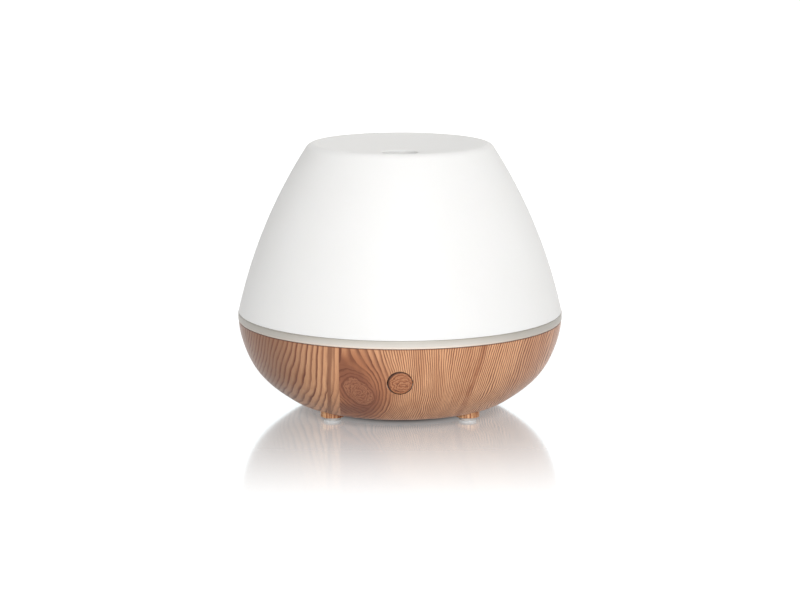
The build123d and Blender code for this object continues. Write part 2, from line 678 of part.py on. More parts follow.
with BuildPart() as fan_frame:
    with BuildSketch(Plane.XY.offset(FAN_BOTTOM)):
        with Locations((0, FAN_Y)):
            RectangleRounded(FAN_SIDE, FAN_SIDE, FRAME_CORNER_R)
    extrude(amount=FAN_TOP - FAN_BOTTOM)
    with Locations((0, FAN_Y)):
        post(FAN_BORE_R, FAN_BOTTOM, FAN_TOP, mode=Mode.SUBTRACT)
        with GridLocations(FAN_HOLES, FAN_HOLES, 2, 2):
            post(CASE_SHANK_R + FIT, FAN_BOTTOM, FAN_TOP, mode=Mode.SUBTRACT)
        with PolarLocations((FAN_BASE_R + FAN_BORE_R) / 2, 4, start_angle=STRUTS_TURNED):
            strut_length = FAN_BORE_R - FAN_BASE_R + FRAME_CORNER_R
            block(strut_length, STRUT[0], FAN_BOTTOM, FAN_BOTTOM + STRUT[1])
        post(FAN_BASE_R, FAN_BOTTOM, FAN_BOTTOM + FAN_BASE)
        post(BUSH_TUBE_R, FAN_BOTTOM, BUSH_TOP)
        post(BUSH_R + TOUCH, BUSH_BOTTOM - TOUCH, BUSH_TOP, mode=Mode.SUBTRACT)
save(fan_frame, "fan_frame")

with BuildPart() as fan_bearing:
    with Locations((0, FAN_Y)):
        post(BUSH_R, BUSH_BOTTOM, BUSH_TOP)
        post(SHAFT_R + SHAFT_PLAY, BUSH_BOTTOM, BUSH_TOP, mode=Mode.SUBTRACT)
save(fan_bearing, "fan_bearing")

STATOR_R = 6.9
STATOR_POLES = 4
STATOR_BOTTOM = FAN_HUB_BOTTOM + 0.4
STATOR_TOP = FAN_HUB_TOP - 3.0
STATOR_SLOT = (4.0, 1.4)

with BuildPart() as fan_stator:
    with Locations((0, FAN_Y)):
        post(STATOR_R, STATOR_BOTTOM, STATOR_TOP)
        post(BUSH_TUBE_R + TOUCH, STATOR_BOTTOM, STATOR_TOP, mode=Mode.SUBTRACT)
        with PolarLocations(STATOR_R, STATOR_POLES, start_angle=45):
            block(*STATOR_SLOT, STATOR_BOTTOM, STATOR_TOP, mode=Mode.SUBTRACT)
save(fan_stator, "fan_stator")

FAN_SCREW_LENGTH = DUCT_FLANGE_TOP - SHELL_FLOOR + 0.6  # the last stretch is in the pilot holes

with BuildPart() as fan_screws:
    with Locations(Location((0, FAN_Y, DUCT_FLANGE_TOP + TOUCH), (180, 0, 0))):
        with GridLocations(FAN_HOLES, FAN_HOLES, 2, 2):
            screw(CASE_SHANK_R, FAN_SCREW_LENGTH, SMALL_HEAD_R, SMALL_HEAD)
save(fan_screws, "fan_screws")

MAGNET_OUTER_R = 8.15
MAGNET_INNER_R = 7.4
MAGNET_TOP = STATOR_TOP + 0.6
HUB_FACE = 1.2
HUB_ROUND = 0.6
SHAFT_TOP = FAN_HUB_TOP - 0.6
BLADE_ROOT = 0.8  # how far a blade runs into the hub
BLADE_HALF_CHORD = 4.2
BLADE_LOW = FAN_HUB_BOTTOM + 0.3
BLADE_HIGH = FAN_HUB_TOP - 0.3
BLADE_BOW = 0.9
BLADE_THICK = 1.0

with BuildPart() as fan_rotor:
    middle = (BLADE_LOW + BLADE_HIGH) / 2
    for i in range(BLADES):
        around = math.radians(i * 360 / BLADES)
        outward = Vector(math.cos(around), math.sin(around), 0)
        sideways = Vector(-math.sin(around), math.cos(around), 0)
        foot = Vector(0, FAN_Y, 0) + outward * (FAN_HUB_R - BLADE_ROOT)
        with BuildSketch(Plane(foot, x_dir=sideways, z_dir=outward)):
            with BuildLine():
                low = ThreePointArc(
                    (-BLADE_HALF_CHORD, BLADE_LOW),
                    (BLADE_BOW, middle - BLADE_BOW),
                    (BLADE_HALF_CHORD, BLADE_HIGH - BLADE_THICK),
                )
                high = ThreePointArc(
                    (-BLADE_HALF_CHORD, BLADE_LOW + BLADE_THICK),
                    (BLADE_BOW, middle - BLADE_BOW + BLADE_THICK),
                    (BLADE_HALF_CHORD, BLADE_HIGH),
                )
                Line(low @ 0, high @ 0)
                Line(low @ 1, high @ 1)
            make_face()
        extrude(amount=BLADE_TIP_R)
    with Locations((0, FAN_Y)):
        post(BLADE_TIP_R, FAN_BOTTOM, FAN_TOP, mode=Mode.INTERSECT)
        post(FAN_HUB_R, FAN_HUB_BOTTOM, FAN_HUB_TOP)
        post(MAGNET_OUTER_R + TOUCH, FAN_HUB_BOTTOM, FAN_HUB_TOP - HUB_FACE, mode=Mode.SUBTRACT)
        post(BUSH_R, BUSH_TOP + FIT, FAN_HUB_TOP)
        post(SHAFT_R + TOUCH, FAN_BOTTOM, SHAFT_TOP, mode=Mode.SUBTRACT)
    fillet(fan_rotor.edges().filter_by(GeomType.CIRCLE).group_by(Axis.Z)[-1], HUB_ROUND)
save(fan_rotor, "fan_rotor")

with BuildPart() as fan_magnet:
    with Locations((0, FAN_Y)):
        post(MAGNET_OUTER_R, STATOR_BOTTOM, MAGNET_TOP)
        post(MAGNET_INNER_R, STATOR_BOTTOM, MAGNET_TOP, mode=Mode.SUBTRACT)
save(fan_magnet, "fan_magnet")

with BuildPart() as fan_shaft:
    with Locations((0, FAN_Y)):
        post(SHAFT_R, BUSH_BOTTOM + TOUCH, SHAFT_TOP - TOUCH)
save(fan_shaft, "fan_shaft")

with BuildPart() as air_duct:
    with Locations((0, FAN_Y)):
        block(FAN_SIDE, FAN_SIDE, DUCT_BOTTOM, DUCT_FLANGE_TOP)
    neck_x = TOWER_SIZE[0] + 2 * FIT
    neck_y = TOWER_SIZE[1] + 2 * FIT
    for wall, mode in ((DUCT_WALL, Mode.ADD), (0.0, Mode.SUBTRACT)):
        with BuildSketch(Plane.XY.offset(DUCT_BOTTOM)):
            with Locations((0, FAN_Y)):
                RectangleRounded(DUCT_BORE + 2 * wall, DUCT_BORE + 2 * wall, DUCT_BORE / 2 - 0.1 + wall)
        with BuildSketch(Plane.XY.offset(DUCT_NECK)) as neck:
            with Locations((0, TOWER_Y)):
                RectangleRounded(neck_x + 2 * wall, neck_y + 2 * wall, neck_y / 2 - 0.1 + wall)
        loft(mode=mode)
        extrude(neck.sketch, amount=DUCT_TOP - DUCT_NECK, mode=mode)
    with Locations((0, FAN_Y)):
        with GridLocations(FAN_HOLES, FAN_HOLES, 2, 2):
            post(CASE_SHANK_R + FIT, DUCT_BOTTOM, DUCT_FLANGE_TOP, mode=Mode.SUBTRACT)
save(air_duct, "air_duct")

# ---------------------------------------------------------------- button and its switch
BOARD_FACE = SWITCH_BACK + TOUCH

with BuildPart() as switch_board:
    with Locations((0, BOARD_FACE + SWITCH_BOARD_SIZE[1] / 2, BUTTON_Z)):
        Box(*SWITCH_BOARD_SIZE)
    for x in (-SWITCH_POST_X, SWITCH_POST_X):
        bar(SMALL_SHANK_R + FIT, BOARD_FACE, 0, x, BUTTON_Z, mode=Mode.SUBTRACT)
save(switch_board, "switch_board")

with BuildPart() as tact_switch:
    with Locations((0, (SWITCH_FRONT + SWITCH_BACK) / 2, BUTTON_Z)):
        Box(SWITCH_SIDE, SWITCH_BACK - SWITCH_FRONT, SWITCH_SIDE)
    bar(PLUNGER_R + FIT, SWITCH_FRONT, PLUNGER_POCKET, 0, BUTTON_Z, mode=Mode.SUBTRACT)
save(tact_switch, "tact_switch")

with BuildPart() as switch_board_screws:
    screw_seat = BOARD_FACE + SWITCH_BOARD_SIZE[1] + TOUCH
    for x in (-SWITCH_POST_X, SWITCH_POST_X):
        with Locations(Location((x, screw_seat, BUTTON_Z), (90, 0, 0))):
            screw(SMALL_SHANK_R, SWITCH_SCREW_LENGTH, SMALL_HEAD_R, SMALL_HEAD)
save(switch_board_screws, "switch_board_screws")

with BuildPart() as power_button:
    bar(BUTTON_R, -RING_R, FLANGE_BACK, 0, BUTTON_Z)
    add(bowl_core(BUTTON_RECESS), mode=Mode.INTERSECT)
    fillet(power_button.edges().group_by(Axis.Y)[0], BUTTON_EDGE)
    bar(FLANGE_R, FLANGE_FRONT, FLANGE_BACK, 0, BUTTON_Z)
    bar(BUTTON_HOLLOW_R, FLANGE_BACK - BUTTON_HOLLOW_DEPTH, FLANGE_BACK, 0, BUTTON_Z, mode=Mode.SUBTRACT)
    bar(STEM_R, FLANGE_BACK - BUTTON_HOLLOW_DEPTH - TOUCH, FLANGE_BACK, 0, BUTTON_Z)
save(power_button, "power_button")

with BuildPart() as switch_plunger:
    bar(PLUNGER_R, FLANGE_BACK + TOUCH, PLUNGER_TIP, 0, BUTTON_Z)
save(switch_plunger, "switch_plunger")

# ---------------------------------------------------------------- leads inside the bowl
LEAD_Z = 16.8
LEADS = {
    "fan_lead": [
        (-FAN_SIDE / 2 - TOUCH, -12.0, 9.0),
        (-21.5, -12.0, 9.0),
        (-25.0, -8.0, 11.5),
        (-24.5, -2.5, 15.5),
        (-22.0, 1.5, LEAD_Z),
        (-22.0, 5.45, LEAD_Z),
    ],
    "switch_lead": [
        (6.0, -50.7, 20.5),
        (6.0, -47.0, 20.5),
        (11.0, -43.5, 20.0),
        (18.5, -40.5, 18.5),
        (22.2, -32.0, 17.5),
        (22.4, -17.0, LEAD_Z),
        (22.0, -4.0, LEAD_Z),
        (22.0, 5.45, LEAD_Z + 0.2),
    ],
    "transducer_lead": [
        (3.0, WELL_Y, PIEZO_BOTTOM - TOUCH),
        (3.0, WELL_Y, 19.5),
        (5.0, 17.0, 17.2),
        (8.0, 25.0, LEAD_Z),
        (10.0, 32.5, LEAD_Z),
        (10.0, 37.45, LEAD_Z + 0.1),
    ],
    "led_lead": [
        (14.8, 26.8, LED_BOARD_BOTTOM - TOUCH),
        (14.8, 26.8, 20.8),
        (17.0, 30.0, 18.2),
        (21.5, 33.0, LEAD_Z),
        (25.7, 34.6, LEAD_Z),
        (25.7, 37.4, LEAD_Z),
    ],
}

for name, route in LEADS.items():
    save(lead(route), name)

# ---------------------------------------------------------------- splash guard and cover
with BuildPart() as mist_guide:
    skirt_inner_r = GUARD_SKIRT_R - THIN_WALL
    with BuildSketch(Plane.XZ) as guide_face:
        # dome and chimney
        with BuildLine():
            dome = FilletPolyline(*GUARD, radius=GUARD_BENDS)
            offset(dome, THIN_WALL, side=Side.LEFT)
        make_face()
        # skirt inside the basin, and the flange that stands on the tank's ledge
        with BuildLine():
            Polyline(
                (skirt_inner_r, GUARD_SKIRT_BOTTOM),
                (GUARD_SKIRT_R, GUARD_SKIRT_BOTTOM),
                (GUARD_SKIRT_R, LEDGE + TOUCH),
                (GUARD_FLANGE_R, LEDGE + TOUCH),
                (GUARD_FLANGE_R, GUARD_FLANGE_TOP),
                (skirt_inner_r, GUARD_FLANGE_TOP),
                close=True,
            )
        make_face()
        fillet(corner(guide_face, CHIMNEY_R, CHIMNEY_TOP), CHIMNEY_ROUND)
        fillet(corner(guide_face, CHIMNEY_R - THIN_WALL, CHIMNEY_TOP), CHIMNEY_ROUND)
    revolve(axis=Axis.Z)
save(mist_guide, "mist_guide")

with BuildPart() as outer_cover:
    lip_r, lip_z = COVER[-1]
    # outer form, with the mist hole through it
    with BuildSketch(Plane.XZ) as cover_face:
        with BuildLine():
            add(COVER_LINE)
            ThreePointArc((lip_r, lip_z), (lip_r / 2, dish(lip_r / 2)), (MIST_HOLE_R, dish(MIST_HOLE_R)))
            Polyline((MIST_HOLE_R, dish(MIST_HOLE_R)), (MIST_HOLE_R, COVER_BOTTOM), COVER[0])
        make_face()
        fillet(corner(cover_face, lip_r, lip_z), LIP_ROUND)
        fillet(corner(cover_face, MIST_HOLE_R, dish(MIST_HOLE_R)), MIST_HOLE_ROUND)
    revolve(axis=Axis.Z)
    # hollow, whose ceiling follows the dish
    with BuildSketch(Plane.XZ):
        with BuildLine():
            inner = parallel(COVER_LINE, WALL)
            Polyline(inner @ 1, (0, (inner @ 1).Y), (0, COVER_BOTTOM), inner @ 0)
        make_face()
        with BuildLine():
            ThreePointArc((0, dish(0, WALL)), (lip_r / 2, dish(lip_r / 2, WALL)), (lip_r, dish(lip_r, WALL)))
            Polyline((lip_r, dish(lip_r, WALL)), (lip_r, lip_z), (0, lip_z), (0, dish(0, WALL)))
        make_face(mode=Mode.SUBTRACT)
    revolve(axis=Axis.Z, mode=Mode.SUBTRACT)
    # sleeve round the chimney's top
    sleeve = [
        (SLEEVE_BORE_R, SLEEVE_BOTTOM),
        (SLEEVE_R, SLEEVE_BOTTOM),
        (SLEEVE_R, dish(SLEEVE_R, WALL / 2)),
        (SLEEVE_BORE_R, dish(SLEEVE_BORE_R, WALL / 2)),
    ]
    revolve(section(sleeve), axis=Axis.Z)
save(outer_cover, "outer_cover")
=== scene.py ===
import json
import math

import bpy
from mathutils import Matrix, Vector


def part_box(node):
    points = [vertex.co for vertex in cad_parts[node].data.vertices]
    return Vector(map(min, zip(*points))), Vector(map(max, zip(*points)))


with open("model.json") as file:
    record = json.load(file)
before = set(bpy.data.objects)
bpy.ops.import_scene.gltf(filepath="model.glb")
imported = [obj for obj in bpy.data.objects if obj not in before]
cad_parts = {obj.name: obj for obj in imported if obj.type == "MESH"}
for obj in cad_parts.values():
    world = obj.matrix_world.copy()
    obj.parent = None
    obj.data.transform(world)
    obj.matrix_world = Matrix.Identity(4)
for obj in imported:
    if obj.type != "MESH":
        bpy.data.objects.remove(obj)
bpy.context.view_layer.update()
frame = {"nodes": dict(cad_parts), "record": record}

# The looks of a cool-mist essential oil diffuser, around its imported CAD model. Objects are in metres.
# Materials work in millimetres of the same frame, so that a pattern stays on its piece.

NODES = frame["nodes"]
MM = 0.001
MATERIALS = {}


# ---------------------------------------------------------------- material helpers
class Field:
    """A number that varies over a surface. Arithmetic on it adds Math nodes to its material."""

    def __init__(self, tree, socket):
        self.tree = tree
        self.socket = socket

    def math(self, operation, *others):
        node = self.tree.nodes.new("ShaderNodeMath")
        node.operation = operation
        for socket, other in zip(node.inputs, (self, *others)):
            if isinstance(other, Field):
                self.tree.links.new(other.socket, socket)
            else:
                socket.default_value = other
        return Field(self.tree, node.outputs[0])

    def __add__(self, other):
        return self.math("ADD", other)

    def __sub__(self, other):
        return self.math("SUBTRACT", other)

    def __mul__(self, other):
        return self.math("MULTIPLY", other)

    def __truediv__(self, other):
        return self.math("DIVIDE", other)

    def __neg__(self):
        return self * -1.0

    def __rsub__(self, other):
        return -self + other

    def __abs__(self):
        return self.math("ABSOLUTE")

    def inverse(self):
        return self.math("POWER", -1.0)

    def root(self):
        return self.math("SQRT")

    def part(self):
        """What is left above the whole number below it."""
        return self.math("FRACT")

    def whole(self):
        return self.math("FLOOR")

    def least(self, other):
        return self.math("MINIMUM", other)

    def most(self, other):
        return self.math("MAXIMUM", other)

    def rise(self, low, high):
        """0 up to low, 1 from high, and smooth between them."""
        node = self.tree.nodes.new("ShaderNodeMapRange")
        node.interpolation_type = "SMOOTHSTEP"
        self.tree.links.new(self.socket, node.inputs["Value"])
        node.inputs["From Min"].default_value = low
        node.inputs["From Max"].default_value = high
        return Field(self.tree, node.outputs["Result"])

    def fall(self, low, high):
        """1 up to low, 0 from high."""
        return 1.0 - self.rise(low, high)

    def band(self, start, full, fades, end):
        """1 from full to fades, and 0 before start and after end."""
        return self.rise(start, full) * self.fall(fades, end)

    def blend(self, low, high):
        """The value of low where this is 0, and of high where it is 1."""
        return self * (high - low) + low

    def dice(self):
        """A random number from 0 to 1 for each whole number."""
        node = self.tree.nodes.new("ShaderNodeTexWhiteNoise")
        node.noise_dimensions = "1D"
        self.tree.links.new(self.socket, node.inputs["W"])
        return Field(self.tree, node.outputs["Value"])


def distance(across, along):
    """How long the line is that goes this far in two directions at right angles."""
    return (across * across + along * along).root()


class Surface:
    """A material in the making, with places in millimetres of the row frame."""

    def __init__(self, name, **sockets):
        self.material = bpy.data.materials.new(name)
        self.material.use_nodes = True
        self.tree = self.material.node_tree
        self.shader = self.tree.nodes["Principled BSDF"]
        for socket, value in sockets.items():
            self.shader.inputs[socket.replace("_", " ")].default_value = value
        coordinates = self.tree.nodes.new("ShaderNodeTexCoord")
        scaled = self.vector("SCALE", coordinates.outputs["Object"])
        scaled.inputs["Scale"].default_value = 1 / MM
        self.place = scaled.outputs["Vector"]
        split = self.tree.nodes.new("ShaderNodeSeparateXYZ")
        self.tree.links.new(self.place, split.inputs[0])
        self.x, self.y, self.z = (Field(self.tree, socket) for socket in split.outputs)
        MATERIALS[name] = self.material

    def vector(self, operation, *inputs):
        node = self.tree.nodes.new("ShaderNodeVectorMath")
        node.operation = operation
        for socket, value in zip(node.inputs, inputs):
            if isinstance(value, bpy.types.NodeSocket):
                self.tree.links.new(value, socket)
            else:
                socket.default_value = value
        return node

    def noise(self, size, detail=2.0, seed=0.0):
        """Noise from about 0 to 1. Its features are size mm large, or as large as that along X, Y and Z."""
        sizes = size if isinstance(size, tuple) else (size,) * 3
        offset = (seed, 2 * seed, 3 * seed)
        placed = self.vector("MULTIPLY_ADD", self.place, [1 / s for s in sizes], offset)
        node = self.tree.nodes.new("ShaderNodeTexNoise")
        self.tree.links.new(placed.outputs["Vector"], node.inputs["Vector"])
        node.inputs["Scale"].default_value = 1.0
        node.inputs["Detail"].default_value = detail
        return Field(self.tree, node.outputs["Fac"])

    def sway(self, size, reach, detail=2.0, seed=0.0):
        """Noise round 0, from about half of reach below it to half of reach above."""
        return (self.noise(size, detail, seed) - 0.5) * reach

    def cells(self, size, seed=0.0, feature="DISTANCE_TO_EDGE"):
        """Irregular cells of this size: how far a place is from their edges or, with F1, their middles."""
        placed = self.vector("MULTIPLY_ADD", self.place, (1 / size,) * 3, (seed,) * 3)
        node = self.tree.nodes.new("ShaderNodeTexVoronoi")
        node.feature = feature
        node.inputs["Scale"].default_value = 1.0
        self.tree.links.new(placed.outputs["Vector"], node.inputs["Vector"])
        return Field(self.tree, node.outputs["Distance"])

    def mix(self, factor, low, high):
        """A colour between two others, each a colour or the result of another mix."""
        node = self.tree.nodes.new("ShaderNodeMix")
        node.data_type = "RGBA"
        if isinstance(factor, Field):
            self.tree.links.new(factor.socket, node.inputs["Factor"])
        else:
            node.inputs["Factor"].default_value = factor
        for socket, value in ((node.inputs[6], low), (node.inputs[7], high)):
            if isinstance(value, bpy.types.NodeSocket):
                self.tree.links.new(value, socket)
            else:
                socket.default_value = (*value, 1.0)
        return node.outputs[2]

    def feed(self, socket, source):
        output = source.socket if isinstance(source, Field) else source
        self.tree.links.new(output, self.shader.inputs[socket])

    def paint_over(self, mask, colour):
        """Gives the masked places another colour than they have so far."""
        so_far = self.shader.inputs["Base Color"].links[0].from_socket
        self.feed("Base Color", self.mix(mask, so_far, colour))

    def relief(self, height, depth):
        """Bumps from a height of 0 to 1 that stand for this many millimetres."""
        node = self.tree.nodes.new("ShaderNodeBump")
        node.inputs["Strength"].default_value = 1.0
        node.inputs["Distance"].default_value = depth * MM
        self.tree.links.new(height.socket, node.inputs["Height"])
        self.tree.links.new(node.outputs["Normal"], self.shader.inputs["Normal"])


def low_corner(node):
    """Lowest corner of a CAD node, in millimetres."""
    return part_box(node)[0] / MM


def high_corner(node):
    """Highest corner of a CAD node, in millimetres."""
    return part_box(node)[1] / MM


def middle(node):
    """Middle of a CAD node's box, in millimetres."""
    return (low_corner(node) + high_corner(node)) / 2


# ---------------------------------------------------------------- wood-grain film on the bowl and the button
RIM_Z = high_corner("base_shell").z
RIM_R = high_corner("base_shell").x
UNDER = 17.0  # the bowl turns under this far below its rim
UNDER_BEND = 0.012  # and bends the lines

WOOD_LIGHT = (0.665, 0.355, 0.190)
WOOD_TAN = (0.500, 0.242, 0.122)
WOOD_RED = (0.315, 0.108, 0.046)
# dark colour of the print's lines, also used for the painted shadow along the bowl's rim
WOOD_LINE_AND_RIM_SHADOW = (0.145, 0.047, 0.024)
WOOD_BROWN = (0.205, 0.100, 0.054)
KNOT_WOOD = (0.225, 0.080, 0.046)
KNOT_SHADE = (0.190, 0.066, 0.034)
FOOT_WOOD = (0.740, 0.420, 0.215)
FOOT_R = 5.1

# growth lines: their spacing, and where in its ring each starts to deepen
FIRST_RING = 20.0  # keeps the count of rings above 0
LEFT_OFFSET = 34.8
LEFT_RING = 2.6  # on the left plank
LEFT_START = 0.35
LEFT_STRENGTH = 0.95
WIDE_RING = 2.3  # beside the knot
WIDE_START = 0.25
FINE_RING = 1.02  # further right
FINE_START = 0.36
FINE_FROM = 12.0
EYE_RING = 1.35  # round the knot
EYE_START = 0.4

SEAM_X = -25.0  # where two planks meet
SEAM_SOFT = 0.12
BROWN_BAND = (-29.9, -29.2, -28.3, -26.8)  # where it starts, is full, fades and ends
LIGHT_BAND = (-27.6, -26.8)  # where it starts and is full
LEFT_BROWN = (-56.0, -26.0)  # brownest and where that ends
KNOT_X = -17.0
KNOT_Z = 19.0
KNOT_R = 4.9  # half its width, across the tilt
KNOT_TILT = math.radians(42)
KNOT_STRETCH = 1.55
EYE_X = -23.0  # the grain flows round a larger circle
EYE_Z = 18.5
EYE_R = 12.6
NOT_BEHIND = 9.0  # makes the back of the bowl far from the knot
SHADE_Z = 30.5  # height of the dark band over the knot, at the seam
SHADE_SLOPE = 0.8
LOW_SHADE_Z = 9.0  # and of the one under it
STREAK_X = 35.0
STREAK_HALF = 2.0
STREAK_SLANT = 0.30
PALE_BAND = (35.5, 38.0, 43.0, 53.0)
RIGHT_END = (50.0, 58.0)

FILM_RELIEF = 0.035


def left_plank(s, drop):
    """Growth rings of the plank left of the seam, as a count of rings."""
    girth = (s.x / RIM_R).least(1.0).most(-1.0).math("ARCSINE") * RIM_R
    sway = s.sway((16.0, 16.0, 22.0), 3.6, seed=3.1)
    tremble = s.sway((4.0, 4.0, 9.0), 0.5, seed=4.7)
    lean = drop * s.x.fall(-58.0, -30.0).blend(0.05, 0.40)
    under = (drop - UNDER).most(0.0)
    place = girth + lean + sway + tremble + under * under * UNDER_BEND
    return (place + LEFT_OFFSET) / LEFT_RING + FIRST_RING


def right_plank(s, drop, eye):
    """Growth rings of the plank with the knot. The lines flow round it, and close up to its right."""
    parted = 1.0 - (eye * eye).most(1.0).inverse()
    flow = (s.x - EYE_X) * parted
    slant = drop * s.x.rise(8.0, 32.0) * STREAK_SLANT
    sway = s.sway((12.0, 12.0, 45.0), 3.4, seed=11.9)
    wave = s.sway((3.2, 9.0, 8.0), 1.0, seed=12.4) * s.x.rise(4.0, 22.0).blend(0.5, 0.7)
    under = (drop - UNDER).most(0.0)
    place = flow + slant + sway + wave + under * under * UNDER_BEND
    closer = (place - FINE_FROM).most(0.0) * (1 / FINE_RING - 1 / WIDE_RING)
    return place / WIDE_RING + closer + FIRST_RING


def knot_distances(s, front):
    """How far a place is from the middles of the knot and of the circle, each in its own radii."""
    from_x = s.x - KNOT_X
    from_z = s.z - KNOT_Z
    crumple = s.sway(4.5, 2.2, detail=3.0, seed=8.3)
    across = from_x * math.cos(KNOT_TILT) + from_z * math.sin(KNOT_TILT)
    along = from_z * math.cos(KNOT_TILT) - from_x * math.sin(KNOT_TILT)
    oval = distance(across, along / KNOT_STRETCH) + crumple
    circle = distance(s.x - EYE_X, s.z - EYE_Z) + crumple * 0.6
    behind = (1.0 - front) * NOT_BEHIND
    return oval / KNOT_R + behind, circle / EYE_R + behind


def growth_line(rings, start):
    """Darkness of the growth lines, which deepen from start and end sharply. Each has its own depth."""
    return rings.part().band(start, 0.9, 0.91, 0.99) * rings.whole().dice().blend(0.7, 1.0)


def film_lines(s, drop, knot, eye, right_side):
    """Growth lines of both planks. They run together and fade now and then."""
    left_lines = growth_line(left_plank(s, drop), LEFT_START) * LEFT_STRENGTH
    rings = right_plank(s, drop, eye)
    flowing = s.x.rise(-6.0, 0.0).blend(growth_line(rings, WIDE_START), growth_line(rings, FINE_START))
    closing = growth_line(knot * (KNOT_R / EYE_RING) + FIRST_RING, EYE_START)
    right_lines = eye.fall(0.94, 1.04).blend(flowing, closing)
    fading = s.noise((2.5, 7.0, 22.0), seed=21.0).rise(0.25, 0.6)
    return right_side.blend(left_lines, right_lines) * fading.blend(0.6, 1.0)


def seam_bands(s, drop, front):
    """A brown band and a light one, left of the seam."""
    swaying = s.x + drop * 0.03 + s.sway((9.0, 9.0, 16.0), 1.2, seed=5.5)
    brown = swaying.band(*BROWN_BAND) * front
    light = swaying.rise(*LIGHT_BAND) * s.x.fall(SEAM_X - 0.2, SEAM_X)
    return brown, light


def plank_tones(s, drop, reddened):
    """Light and tan wood, browner at the left, with a red streak and a pale band beside it at the right."""
    tone = s.noise((4.0, 11.0, 70.0), detail=3.0, seed=31.0).rise(0.3, 0.7)
    leaning = s.x + drop * STREAK_SLANT
    pale = leaning.band(*PALE_BAND)
    colour = s.mix((tone * 0.75 - pale * 0.5).most(0.0), WOOD_LIGHT, WOOD_TAN)
    colour = s.mix(s.x.fall(*LEFT_BROWN) * 0.9, colour, WOOD_BROWN)
    streaky = s.noise((1.6, 1.6, 30.0), seed=41.0).rise(0.3, 0.7)
    streak = abs(leaning - STREAK_X).fall(0.2, STREAK_HALF) * streaky.blend(0.3, 0.8)
    right_end = leaning.rise(*RIGHT_END) * 0.25
    return s.mix((streak + right_end + reddened).least(1.0), colour, WOOD_RED)


def knot_shade(s):
    """Darkest in a band from the seam to the knot's top, and below the knot."""
    dusk = s.sway(6.0, 5.0, seed=45.0)
    over = abs(s.z - SHADE_Z + (s.x - SEAM_X) * SHADE_SLOPE + dusk).fall(3.0, 8.0)
    under = abs(s.z - LOW_SHADE_Z + dusk).fall(1.0, 5.0)
    return (over * s.x.fall(-17.0, -11.0)).most(under * s.x.fall(-14.0, -9.0))


def knot_face(s, knot, right_side, colour, lines):
    """The knot is crinkled, with light and dark threads round its middle and a dark edge."""
    threads = (knot * 5.5 + s.noise(1.8, detail=3.0, seed=51.0) * 3.0).part()
    inside = knot.fall(0.92, 1.05) * right_side
    colour = s.mix(knot.fall(0.9, 1.9) * right_side * 0.8, colour, KNOT_WOOD)
    colour = s.mix(inside * threads.band(0.1, 0.5, 0.6, 0.95) * 0.32, colour, WOOD_TAN)
    colour = s.mix(inside * threads.rise(0.75, 0.9) * 0.85, colour, WOOD_LINE_AND_RIM_SHADOW)
    edge = knot.band(0.9, 1.0, 1.0, 1.16) * right_side * 0.6
    return colour, (lines * (1.0 - inside)).most(edge)


def foot_ends(s, colour):
    """The feet are end-on pieces of a lighter tone."""
    foot = middle("foot_pad_3")
    on_foot = distance(abs(s.x) - abs(foot.x), abs(s.y) - abs(foot.y)).fall(FOOT_R + 0.05, FOOT_R + 0.2)
    grain = s.noise((0.8, 0.8, 14.0), seed=91.0).rise(0.42, 0.62)
    return s.mix(on_foot, colour, s.mix(grain, FOOT_WOOD, WOOD_RED))


def wood(name, bent=None):
    """The printed film. bent(s, colour) may change its colour and relief, as on the button."""
    s = Surface(name, Specular_IOR_Level=0.3, Sheen_Weight=0.25, Sheen_Roughness=0.25)
    drop = RIM_Z - s.z
    front = (-s.y).rise(-4.0, 18.0)
    right_side = s.x.rise(SEAM_X - SEAM_SOFT, SEAM_X + SEAM_SOFT)
    knot, eye = knot_distances(s, front)
    brown_band, light_band = seam_bands(s, drop, front)

    lines = film_lines(s, drop, knot, eye, right_side)
    lines = (lines * light_band.blend(1.0, 0.6)).most(brown_band * 0.6)
    reddened = eye.fall(1.15, 2.1) * right_side * 0.8 + light_band * 0.3
    colour = plank_tones(s, drop, reddened)
    colour = s.mix(knot_shade(s) * right_side * front * 0.8, colour, KNOT_SHADE)
    colour, lines = knot_face(s, knot, right_side, colour, lines)
    colour = s.mix((lines * s.x.rise(0.0, 12.0).blend(1.25, 1.5)).least(1.0), colour, WOOD_LINE_AND_RIM_SHADOW)

    fibres = s.noise((0.45, 1.8, 7.0), detail=3.0, seed=61.0)
    pores = s.noise((0.22, 0.9, 2.4), detail=1.0, seed=71.0).rise(0.66, 0.78)
    # painted shadow: a thin dark line along the top of the bowl, under the tank's band
    rim_painted_shadow = drop.fall(0.2, 0.55) * 0.6
    colour = s.mix(fibres.rise(0.35, 0.75) * 0.22, colour, WOOD_RED)
    colour = s.mix((pores * 0.35).most(rim_painted_shadow), colour, WOOD_LINE_AND_RIM_SHADOW)
    colour = foot_ends(s, colour)
    height = 1.0 - lines * 0.6 - pores * 0.3 - fibres * 0.25
    if bent:
        colour, height = bent(s, colour)
    s.feed("Base Color", colour)
    s.feed("Roughness", lines * 0.1 + fibres * 0.12 + 0.36)
    s.relief(height, FILM_RELIEF)


# painted shadow: colour of the button's rim, for the shade its recess casts on the face
BUTTON_RIM_SHADOW = (0.075, 0.028, 0.016)
BUTTON_RIM_SHADOW_R = (4.5, 5.4)  # where it starts and where it is darkest
BUTTON_REDDENED = 0.9
SWIRL_X = 1.4  # the swirl's middle, from the button's
SWIRL_Z = -1.1
SWIRL_SQUEEZE = 1.304


